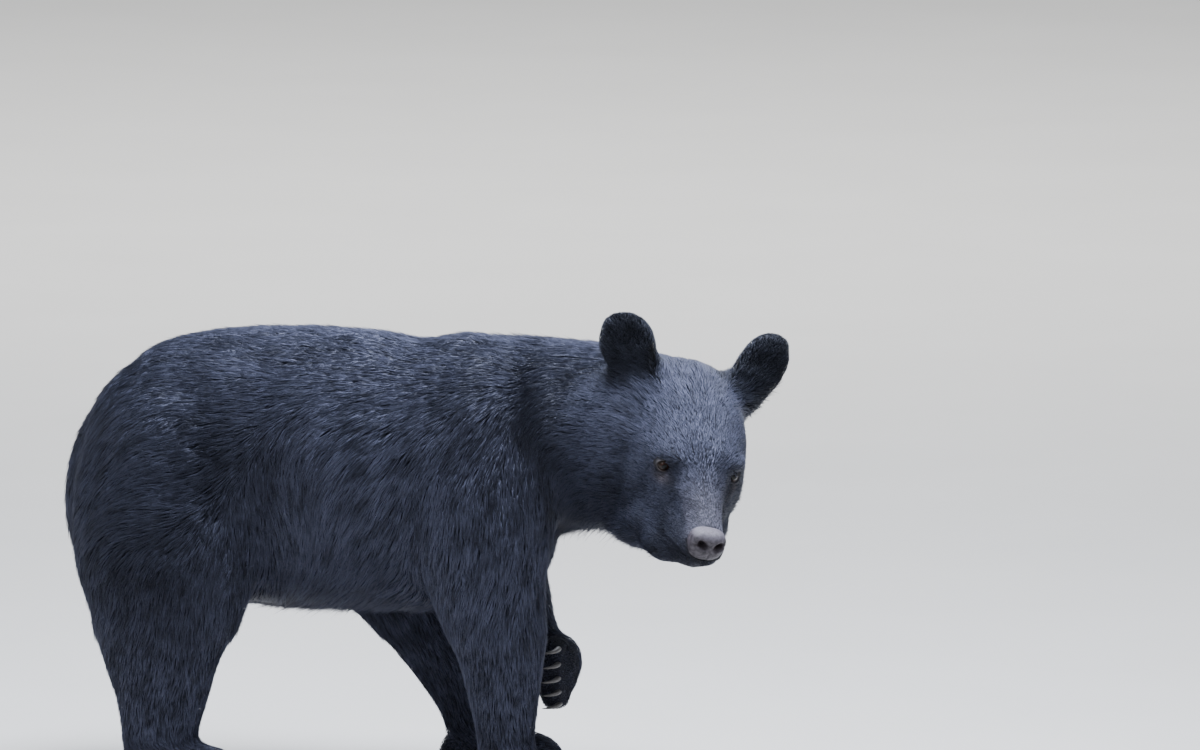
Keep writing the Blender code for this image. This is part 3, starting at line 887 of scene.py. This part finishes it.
def tuftMesh(name, middles, widths, across, rise, patchCentres, tones, tintsAt):
    # each tuft is a closed spindle: a point at the root, three corners at the bend, a point
    # at the tip
    count, per = len(middles), 5
    vertices = np.empty((count, per, 3))
    uvs = np.empty((count, per, 2))
    half = tuftSettings["patch"] * 0.5
    vertices[:, 0], vertices[:, 4] = middles[:, 0], middles[:, 2]
    for k, (aside, above) in enumerate(((-0.5, 0.0), (0.5, 0.0), (0.0, tuftSettings["ridge"]))):
        vertices[:, k + 1] = middles[:, 1] + across * widths * aside + rise * widths * above
        uvs[:, k + 1] = patchCentres + np.array((half * (k - 1), 0))
    uvs[:, 0] = patchCentres - np.array((0, half))
    uvs[:, 4] = patchCentres + np.array((0, half))
    faces = np.array([(0, 2, 1), (0, 3, 2), (0, 1, 3), (4, 1, 2), (4, 2, 3), (4, 3, 1)])
    corners = (faces[None] + (np.arange(count) * per)[:, None, None]).reshape(-1)
    mesh = bpy.data.meshes.new(name)
    mesh.vertices.add(count * per)
    mesh.vertices.foreach_set("co", vertices.ravel())
    mesh.loops.add(len(corners))
    mesh.loops.foreach_set("vertex_index", corners)
    mesh.polygons.add(len(corners) // 3)
    mesh.polygons.foreach_set("loop_start", np.arange(0, len(corners), 3))
    mesh.polygons.foreach_set("use_smooth", np.ones(len(corners) // 3, dtype=bool))
    mesh.update(calc_edges=True)
    layer = mesh.uv_layers.new(name="OFBake")
    layer.data.foreach_set("uv", uvs.reshape(-1, 2)[corners].ravel())
    writeValues(mesh, "tone", np.repeat(tones, per))
    writeValues(mesh, "along", np.tile((0, *[tuftSettings["bendAlong"]] * 3, 1), count))
    writeColours(mesh, "colourWithPaintedLight", np.repeat(tintsAt, per, axis=0))
    return mesh


def combedTufts(roots, flowAt, normalAt, fieldsAt):
    # the bend and the tip of each tuft, and its length
    count = len(roots)
    length = fieldsAt[:, 1] * (1 + tuftSettings["spreadOfLength"] * (rng.random(count) * 2 - 1))
    depth, stand = fieldsAt[:, 0], fieldsAt[:, 3]
    (bendAhead, bendUp), (tipAhead, tipUp) = tuftSettings["bend"], tuftSettings["tip"]
    bendAt = roots + flowAt * (length * bendAhead)[:, None]
    bends, tips = np.empty_like(roots), np.empty_like(roots)
    for i in range(count):
        place, normal, index, _ = skinTree.find_nearest(Vector(bendAt[i]))
        bends[i] = place + normal * depth[i] * bendUp
        ahead = flow[triangles[index]].mean(axis=0)
        place, normal, _, _ = skinTree.find_nearest(place + Vector(ahead * length[i] * tipAhead))
        tips[i] = place + normal * depth[i] * (tipUp + 0.25 * stand[i] * rng.random())
    loose = rng.normal(0, 1, (count, 3)) * (length * tuftSettings["stray"])[:, None]
    loose -= normalAt * np.minimum((loose * normalAt).sum(axis=1), 0)[:, None] * 0.7
    tips += loose * (0.5 + stand[:, None])
    hang = np.clip(stand - 0.45, 0, 1) * length * tuftSettings["hang"] * rng.random(count) ** 2
    tips += normalAt * hang[:, None]
    return bends, tips, length


def gathered(roots, tips, length, tones):
    # tips lean towards the tip of the tuft in the middle of their lock, and take some of its tone
    mixed = tones * tuftSettings["toneShares"][0]
    for (spacing, strength), share in zip(tuftSettings["locks"], tuftSettings["toneShares"][1:]):
        spacing *= 0.4 + 0.6 * length.mean() / 0.030
        cells = np.floor(roots / spacing).astype(np.int64)
        _, leaders = np.unique(cells, axis=0, return_index=True)
        tree = treeOf([Vector(roots[i]) for i in leaders])
        nearest = np.array([leaders[tree.find(Vector(p))[1]] for p in roots])
        pull = strength * rng.uniform(0.4, 1.0, len(roots))
        lean = tips[nearest] - tips
        pull *= np.clip(length * 0.45 / np.maximum(lengths(lean), 1e-6), 0, 1)
        tips = tips + lean * pull[:, None]
        mixed = mixed + tones[nearest] * share
    return tips, np.clip((mixed - 0.5) * 1.6 + 0.5, 0, 1)


def growCoat(name, chosenNodes, keep=None, contrast=1.0):
    onPiece = ownedBy(owners, *chosenNodes)[triangles].sum(axis=1) >= 2
    if keep is not None:
        onPiece &= keep(points[triangles].mean(axis=1))
    mine = triangles[onPiece]
    corners = points[mine]
    sides = corners[:, 1:] - corners[:, :1]
    area = 0.5 * lengths(np.cross(sides[:, 0], sides[:, 1]))
    weights = area * fields[mine, 4].mean(axis=1) * (bare[mine].max(axis=1) < 0.5)
    count = int(weights.sum())
    chosen, shares = rootsOn(weights, count)
    face = mine[chosen]

    def blend(cornerValues):
        return (cornerValues * shares[:, :, None]).sum(axis=1)

    roots, fieldsAt, tintAt = [blend(values[face]) for values in (points, fields, tints)]
    normalAt, flowAt = [unit(blend(values[face])) for values in (normals, flow)]
    patchCentres = blend(triangleUvs[onPiece][chosen])
    bends, tips, length = combedTufts(roots, flowAt, normalAt, fieldsAt)
    tips, tones = gathered(roots, tips, length, rng.random(count))
    tones = 0.5 + (tones - 0.5) * contrast
    for ends in (tips, bends):
        ends[:, 2] = np.maximum(ends[:, 2], tuftSettings["offFloor"])
    roots = roots - normalAt * tuftSettings["sunk"]
    middles = np.stack([roots, bends, tips], axis=1)
    widths = fieldsAt[:, 2, None] * rng.uniform(0.75, 1.25, (count, 1))
    along = unit(tips - roots)
    across = unit(np.cross(along, normalAt))
    rise = np.cross(across, along)
    mesh = tuftMesh(name, middles, widths, across, rise, patchCentres, tones, tintAt)
    mesh.materials.append(coatMaterial)
    piece = addObject(name, mesh)
    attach(piece, "root")
    print(name, count, "tufts", len(mesh.polygons), "triangles")


coatLooks = {
    "roughness": 0.43,
    "specular": 0.22,
    "skinShade": (0.2, 0.6),    # of the marking's colour, on the skin: its own dark colour, and painted shade under the coat, with a grain of random tone
    "rootPaintedShade": 0.20,          # and of a tuft's colour at its root: painted shade deep in the coat
    # and at its tip: painted light
    "tipPaintedLight": 1.35,
    "palest": 2.10,             # tone of the palest tufts
    "darkest": 0.25,
    "shine": {
        "Specular Tint": (0.78, 0.83, 1.0, 1),
        "Sheen Weight": 0.05,
        "Sheen Roughness": 0.35,
        "Sheen Tint": (0.62, 0.68, 1.0, 1),
    },
}


def makeCoatMaterial(looks):
    made, tree, shader = principled("blackCoat", looks["roughness"], looks["specular"])
    colourWithPaintedLight, tone, along = [addAttribute(tree, name) for name in ("colourWithPaintedLight", "tone", "along")]
    toneRange = addRange(tree, looks["darkest"], looks["palest"])
    # darker at a tuft's root, paler at its tip: painted shade deep in the coat, painted light on
    # the tips
    alongRange = addRange(tree, looks["rootPaintedShade"], looks["tipPaintedLight"])
    both = addNode(tree, "Math", "MULTIPLY")
    shade = addNode(tree, "VectorMath", "SCALE")
    chain(tone, "Fac>Value", toneRange, "Result>0", both, "Value>Scale", shade)
    chain(along, "Fac>Value", alongRange, "Result>1", both)
    chain(colourWithPaintedLight, "Color>0", shade, "Vector>Base Color", shader)
    for socket, value in looks["shine"].items():
        shader.inputs[socket].default_value = value
    return made


def makeSkinMaterial():
    made, tree, shader = principled("darkSkin", 0.75, coatLooks["specular"])
    colourWithPaintedLight = addAttribute(tree, "colourWithPaintedLight")
    coords = addNode(tree, "TexCoord")
    grain = addNode(tree, "TexNoise", Scale=900.0, Detail=3.0, Roughness=0.6)
    bump = addNode(tree, "Bump", Strength=0.35, Distance=0.0006)
    shade = addNode(tree, "VectorMath", "SCALE")
    # the skin darker than the coat: painted shade under the coat, varied by a grain
    shadeRange = addRange(tree, *coatLooks["skinShade"])
    chain(coords, "Object>Vector", grain, "Fac>Height", bump, "Normal>Normal", shader)
    chain(grain, "Fac>Value", shadeRange, "Result>Scale", shade)
    chain(colourWithPaintedLight, "Color>0", shade, "Vector>Base Color", shader)
    return made


coatMaterial = makeCoatMaterial(coatLooks)
triangles = readArray(mesh.polygons, "vertices", 3, np.int64)
triangleUvs = readArray(mesh.uv_layers["OFBake"].data, "uv", 2).reshape(-1, 3, 2)
bare = bareShare(points, owners)
skinTree = BVHTree.FromPolygons([Vector(p) for p in points], triangles.tolist())
writeColours(mesh, "colourWithPaintedLight", tints)
mesh.materials.append(makeSkinMaterial())


def joinLids(skin, settings):
    bm = bmesh.new()
    bm.from_mesh(skin.data)
    first = len(bm.verts)
    colourLayer = bm.verts.layers.float_color["colourWithPaintedLight"]
    for hand in (1, -1):
        lidMesh = meshOf(lidRing(hand, settings), "lid")
        bm.from_mesh(lidMesh)
        bpy.data.meshes.remove(lidMesh)
    bm.verts.ensure_lookup_table()
    uvLayer = bm.loops.layers.uv["OFBake"]
    toHead = headFrame.inverted()
    for vertex in bm.verts[first:]:
        low = min(max((-0.001 - (toHead @ vertex.co).z) / 0.005, 0), 1)
        colour = Vector(settings["upper"]).lerp(Vector(settings["lower"]), low)
        vertex[colourLayer] = (*colour, 1)
        for loop in vertex.link_loops:
            loop[uvLayer].uv = (0.001 + 0.002 * (vertex.index % 2), 0.001)
    for face in bm.faces:
        face.smooth = True
    bm.to_mesh(skin.data)
    bm.free()


def ahead(places):
    # how far forward in the head's frame
    return inFrame(headFrame, places)[:, 0]


joinLids(skin, lidSettings)
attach(skin, "root")
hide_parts(*fleshNames)

growCoat("coatTrunkRight", ["trunk"], lambda p: p[:, 1] < 0.04)
growCoat("coatTrunkLeft", ["trunk"], lambda p: p[:, 1] >= 0.04)
growCoat("coatNeck", ["neck"])
growCoat("coatCrown", ["head"], lambda p: ahead(p) < -0.045, 0.75)
growCoat("coatBrow", ["head", "lower_jaw"], lambda p: np.abs(ahead(p) + 0.010) <= 0.035, 0.55)
growCoat("coatMuzzle", ["head", "lower_jaw"], lambda p: ahead(p) > 0.025, 0.60)
growCoat("coatEars", ["ear_left", "ear_right"])
growCoat("coatTail", ["tail"])
for limb in limbNames:
    for title, kind in (("Thigh", "upper_leg_"), ("Shank", "lower_leg_"), ("Paw", "paw_")):
        growCoat("coat" + title + titled(limb), [kind + limb])
print("coat grown")


# the eyes: balls with a clear bulge over the iris

eyeSettings = {
    "radius": 0.0098,
    "irisRadius": 0.0072,
    "bulge": 0.0009,        # of the clear front
    "reach": 0.010,         # from the middle, where the ramp of colours ends
    "ramp": (
        (0, (0.002, 0.002, 0.002)),
        (0.33, (0.002, 0.002, 0.002)),
        (0.37, (0.019, 0.0080, 0.0060)),
        (0.60, (0.012, 0.007, 0.005)),
        (0.70, (0.006, 0.004, 0.003)),
        (0.78, (0.030, 0.022, 0.021)),
        (1, (0.040, 0.030, 0.029)),
    ),
}


def makeEyeMaterial(hand, settings):
    made, tree, shader = principled("eye", 0.03, 0.17)
    place = eyePlace(hand)
    turn = addNode(tree, "Mapping", Location=place.to_translation(), Rotation=place.to_euler())
    turn.vector_type = "TEXTURE"
    ramp = addRamp(tree, *settings["ramp"])
    scaled = addNode(tree, "Math", "MULTIPLY")
    scaled.inputs[1].default_value = 1 / settings["reach"]
    kinds = ("TexCoord", "SeparateXYZ", "CombineXYZ")
    coords, split, flat = [addNode(tree, kind) for kind in kinds]
    away = addNode(tree, "VectorMath", "LENGTH")
    streaks = addNode(tree, "TexNoise", Scale=700.0, Detail=2.0)
    mix = addNode(tree, "VectorMath", "SCALE")
    streakRange = addRange(tree, 0.7, 1.3)
    chain(coords, "Object>Vector", turn, "Vector>Vector", split, "Y>Y", flat, "Vector>0", away)
    chain(away, "Value>0", scaled, "Value>Fac", ramp, "Color>0", mix, "Vector>Base Color", shader)
    chain(split, "Z>Z", flat, "Vector>Vector", streaks, "Fac>Value", streakRange)
    chain(streakRange, "Result>Scale", mix)
    return made


def ordered(mesh):
    # the same mesh with its faces in a fixed order: a new sphere's differ from run to run
    faces = []
    for face in mesh.polygons:
        corners = list(face.vertices)
        first = corners.index(min(corners))
        faces.append(corners[first:] + corners[:first])
    places = [vertex.co[:] for vertex in mesh.vertices]
    mesh.clear_geometry()
    mesh.from_pydata(places, [], sorted(faces))
    mesh.shade_smooth()
    return mesh


def makeEye(side, hand):
    bm = bmesh.new()
    bmesh.ops.create_uvsphere(bm, u_segments=40, v_segments=24, radius=eyeSettings["radius"])
    bmesh.ops.rotate(bm, verts=bm.verts, matrix=Matrix.Rotation(math.radians(90), 3, "Y"))
    for vertex in bm.verts:
        aside = math.hypot(vertex.co.y, vertex.co.z) / eyeSettings["irisRadius"]
        if vertex.co.x > 0 and aside < 1:
            vertex.co.x += eyeSettings["bulge"] * (1 - aside**2) ** 1.5
    bm.transform(eyePlace(hand))
    title = "eye" + titled(side)
    eye = addObject(title, ordered(meshOf(bm, title)))
    eye.data.materials.append(makeEyeMaterial(hand, eyeSettings))
    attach(eye, "root")
    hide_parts("eye_" + side)


makeEye("left", 1)
makeEye("right", -1)
print("eyes made")


# the nose pad, with nostrils and a cleft

noseLooks = {
    "leather": ((0.34, (0.018, 0.015, 0.020)), (0.68, (0.072, 0.062, 0.075))),
    # the pad's paler top, partly its own colour and partly painted light from above
    "top": (0.092, 0.085, 0.105, 1),
    # painted shade in the nostrils and slots, darker the deeper they go
    "hollowShade": (0.016, 0.010, 0.013, 1),
}


def makeNoseMaterial(looks):
    made, tree, shader = principled("noseLeather", 0.46, 0.30)
    coords = addNode(tree, "TexCoord")
    pebbles = addNode(tree, "TexVoronoi", Scale=900.0)
    blotch = addNode(tree, "TexNoise", Scale=240.0, Detail=4.0)
    patchy = addNode(tree, "TexNoise", Scale=330.0, Detail=3.0)
    patchRange = addRange(tree, 0.45, 1.0, 0.35, 0.65)
    share = addNode(tree, "Math", "MULTIPLY")
    ramp = addRamp(tree, *looks["leather"])
    hollowShade, top = addAttribute(tree, "hollowShade"), addAttribute(tree, "top")
    pale, dark = addNode(tree, "Mix"), addNode(tree, "Mix")
    for mix, colour in ((pale, looks["top"]), (dark, looks["hollowShade"])):
        mix.data_type = "RGBA"
        mix.inputs["B"].default_value = colour
    bump = addNode(tree, "Bump", Strength=0.8, Distance=0.0007)
    chain(coords, "Object>Vector", blotch, "Fac>Fac", ramp, "Color>A", pale, "Result>A", dark)
    chain(coords, "Object>Vector", patchy, "Fac>Value", patchRange, "Result>1", share)
    chain(top, "Fac>0", share, "Value>Factor", pale)
    chain(hollowShade, "Fac>Factor", dark, "Result>Base Color", shader)
    chain(coords, "Object>Vector", pebbles, "Distance>Height", bump, "Normal>Normal", shader)
    return made


def makeNose(settings):
    bm = bmesh.new()
    bmesh.ops.create_icosphere(bm, subdivisions=5, radius=1)
    hollowShades, paleAndLitTops = [], []
    (deepX, deepY, deepZ), middle = settings["radii"], Vector(settings["middle"])
    nostrilY, nostrilZ = settings["nostril"]
    slotY, slotZ, slotWide, slotHigh, slotDeep = settings["slot"]
    cleftWide, cleftDeep = settings["cleft"]
    powerX, powerZ = settings["powers"]
    for vertex in bm.verts:
        x, y, z = vertex.co
        # a paler band over the pad's top: partly the leather's own, partly painted light from above
        paleAndLitTops.append(min(max((z - 0.46) / 0.28, 0), 1) * 0.8)
        # squarer across the front, narrower below
        wide = 1 - 0.16 * max(-z, 0)
        full = 1 + 0.40 * (y * y) * (z * z)
        x = math.copysign(abs(x) ** powerX, x)
        z = math.copysign(abs(z) ** powerZ, z)
        co = Vector((x * deepX, y * wide * full * deepY, z * full * deepZ)) + middle
        hollowShade = 0.0
        for hand in (1, -1):
            if co.x > middle.x:
                # a comma, open to the side
                aside, above = co.y * hand - nostrilY, co.z - nostrilZ
                dy = aside / settings["nostrilRadii"][0]
                dz = (above - 0.25 * aside) / settings["nostrilRadii"][1]
                deep = math.exp(-(dy * dy + dz * dz) ** 1.5)
                slotAway = ((aside - slotY) / slotWide) ** 2 + ((above - slotZ) / slotHigh) ** 2
                slot = math.exp(-slotAway)
                co.x -= settings["nostrilDepth"] * deep + slotDeep * slot
                # painted shade, by the depth of the nostril and slot
                hollowShade = max(hollowShade, deep, 0.6 * slot)
        if co.x > middle.x:
            lower = 1 if co.z < middle.z + 0.004 else 0.3
            co.x -= cleftDeep * math.exp(-((co.y / cleftWide) ** 2)) * lower
        vertex.co = headFrame @ co
        hollowShades.append(hollowShade)
    nose = addObject("nosePad", meshOf(bm, "nosePad", smooth=True))
    writeValues(nose.data, "hollowShade", np.clip(np.array(hollowShades) * 1.3, 0, 1))
    writeValues(nose.data, "top", paleAndLitTops)
    nose.data.materials.append(makeNoseMaterial(noseLooks))
    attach(nose, "root")
    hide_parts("nose")


makeNose(noseSettings)
print("nose made")


# the claws: curved, tapering, one mesh for each foot

def makeClawMaterial():
    made, tree, shader = principled("clawHorn", 0.38, 0.5)
    coords = addNode(tree, "TexCoord")
    streaks = addNode(tree, "TexNoise", Scale=420.0, Detail=4.0, Roughness=0.7)
    ramp = addRamp(tree, (0.3, (0.050, 0.046, 0.046)), (0.75, (0.150, 0.140, 0.135)))
    bump = addNode(tree, "Bump", Strength=0.2, Distance=0.0002)
    chain(coords, "Object>Vector", streaks, "Fac>Fac", ramp, "Color>Base Color", shader)
    chain(streaks, "Fac>Height", bump, "Normal>Normal", shader)
    return made


clawSettings = {
    "radius": 0.0046,
    "narrow": 0.72,         # width over depth
    "start": -14,           # degrees behind the top of the arc
    "sweep": 93,
    "rings": 10,
    "taper": (0.90, 1.7),   # how much thinner the tip is, and how late it thins
    "sides": 14,
    "halfWidth": 0.036,     # of the row of roots
    # radius of the arc, how far ahead in the paw's frame, and how high
    "hind_right": (0.022, 0.106, 0.0257),
    "hind_left": (0.022, 0.106, 0.0257),
    "fore_right": (0.025, 0.084, 0.0244),
    "fore_left": (0.023, 0.084, 0.0330),
}


def clawRoot(limb, k, settings):
    spreadOut = (k - 2) / 2
    hand = 1 if limb.endswith("left") else -1
    _, length, height = settings[limb]
    reach = length * (0.88 - 0.10 * spreadOut**2 - 0.03 * hand * spreadOut)
    return Vector((reach + 0.003, spreadOut * settings["halfWidth"], height))


def makeClaws(limb, finish, settings):
    bm = bmesh.new()
    arc = settings[limb][0]
    less, power = settings["taper"]
    for k in range(5):
        root = clawRoot(limb, k, settings)
        loops = []
        for step in range(settings["rings"]):
            t = step / (settings["rings"] - 1)
            a = math.radians(settings["start"] + settings["sweep"] * t)
            thick = settings["radius"] * (1 - less * t**power)
            middle = root + Vector((arc * math.sin(a), 0, arc * (math.cos(a) - 1)))
            lie = Matrix.Rotation(a, 4, "Y") @ Matrix.Rotation(math.radians(90), 4, "Y")
            size = Matrix.Diagonal((thick, thick * settings["narrow"], 1, 1))
            place = pawFrames[limb] @ Matrix.Translation(middle) @ lie @ size
            made = bmesh.ops.create_circle(bm, segments=settings["sides"], radius=1, matrix=place)
            edges = [edge for vertex in made["verts"] for edge in vertex.link_edges]
            loops.append(list(dict.fromkeys(edges)))
        for one, two in zip(loops, loops[1:]):
            bmesh.ops.bridge_loops(bm, edges=one + two)
        bmesh.ops.holes_fill(bm, edges=loops[0] + loops[-1], sides=settings["sides"])
    bmesh.ops.recalc_face_normals(bm, faces=bm.faces)
    for face in bm.faces:
        face.smooth = len(face.verts) == 4
    title = "claws" + titled(limb)
    claws = addObject(title, meshOf(bm, title))
    claws.data.materials.append(finish)
    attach(claws, "root")
    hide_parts(*[f"claw_{limb}_{k}" for k in range(1, 6)])


clawFinish = makeClawMaterial()
for limb in limbNames:
    makeClaws(limb, clawFinish, clawSettings)
print("claws made")
